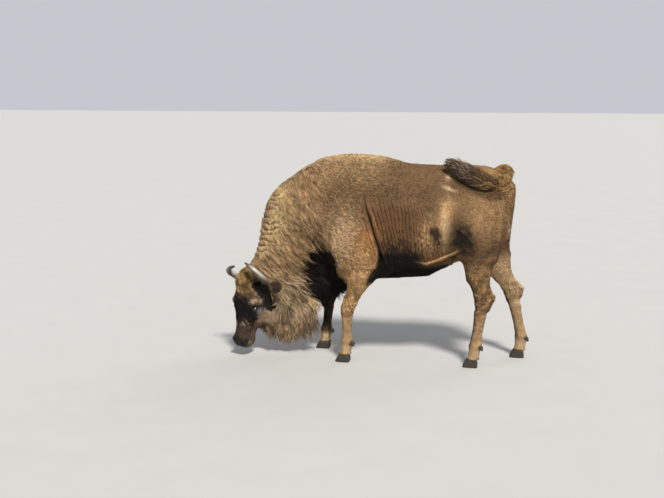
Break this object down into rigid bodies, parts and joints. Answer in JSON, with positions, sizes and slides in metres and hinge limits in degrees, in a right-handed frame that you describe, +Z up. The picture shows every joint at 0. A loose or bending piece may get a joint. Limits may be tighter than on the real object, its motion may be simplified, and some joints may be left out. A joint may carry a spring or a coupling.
{
  "type": "wisent",
  "caption": "European bison cow grazing in a slow walk: low turned head with short horns, hump, throat mane, tail thrown over the croup. Life-size still model.",
  "frame": {"origin": "middle of the floor under the animal (bounding box, bottom centre)", "axes": "+Z up, +X from head to tail, +Y to the right side of the animal; it faces -X, and its left side is -Y"},
  "size_m": [2.3768, 0.6078, 1.5963],
  "materials": {
    "body_coat": "short dense mid-brown coat, matte, golden where the light strikes",
    "neck_wool": "curly brown wool with a paler crest, matte",
    "mane_hair": "long grey-brown hair in streaks, matte",
    "face_coat": "short dark brown coat, matte",
    "muzzle_skin": "bare greyish pink-brown skin, slightly moist",
    "ear_coat": "dark brown hair, matte",
    "leg_coat": "short golden-brown coat, darker in front",
    "tail_coat": "orange-brown coat, matte",
    "tail_tuft_hair": "long dark grey-brown hair",
    "horn_sheath": "grey horn with dark tips, satin",
    "hoof_horn": "near-black horn, satin",
    "eye": "wet dark brown, glossy"
  },
  "bodies": {
    "root": {"foreleg_left_upper": "leg_coat", "foreleg_left_lower": "leg_coat", "hoof_fore_left_outer": "hoof_horn", "dewclaw_fore_left_outer": "hoof_horn", "hoof_fore_left_inner": "hoof_horn", "dewclaw_fore_left_inner": "hoof_horn", "foreleg_right_upper": "leg_coat", "foreleg_right_lower": "leg_coat", "hoof_fore_right_inner": "hoof_horn", "dewclaw_fore_right_inner": "hoof_horn", "hoof_fore_right_outer": "hoof_horn", "dewclaw_fore_right_outer": "hoof_horn", "hindleg_left_upper": "leg_coat", "hindleg_left_lower": "leg_coat", "hoof_hind_left_outer": "hoof_horn", "dewclaw_hind_left_outer": "hoof_horn", "hoof_hind_left_inner": "hoof_horn", "dewclaw_hind_left_inner": "hoof_horn", "hindleg_right_upper": "leg_coat", "hindleg_right_lower": "leg_coat", "hoof_hind_right_inner": "hoof_horn", "dewclaw_hind_right_inner": "hoof_horn", "hoof_hind_right_outer": "hoof_horn", "dewclaw_hind_right_outer": "hoof_horn", "trunk": "body_coat", "neck": "neck_wool", "throat_mane": "mane_hair", "head": "face_coat", "muzzle": "muzzle_skin", "lower_jaw": "face_coat", "eye_left": "eye", "horn_left": "horn_sheath", "ear_left": "ear_coat", "eye_right": "eye", "horn_right": "horn_sheath", "ear_right": "ear_coat", "tail": "tail_coat", "tail_tuft": "tail_tuft_hair"}
  },
  "joints": []
}
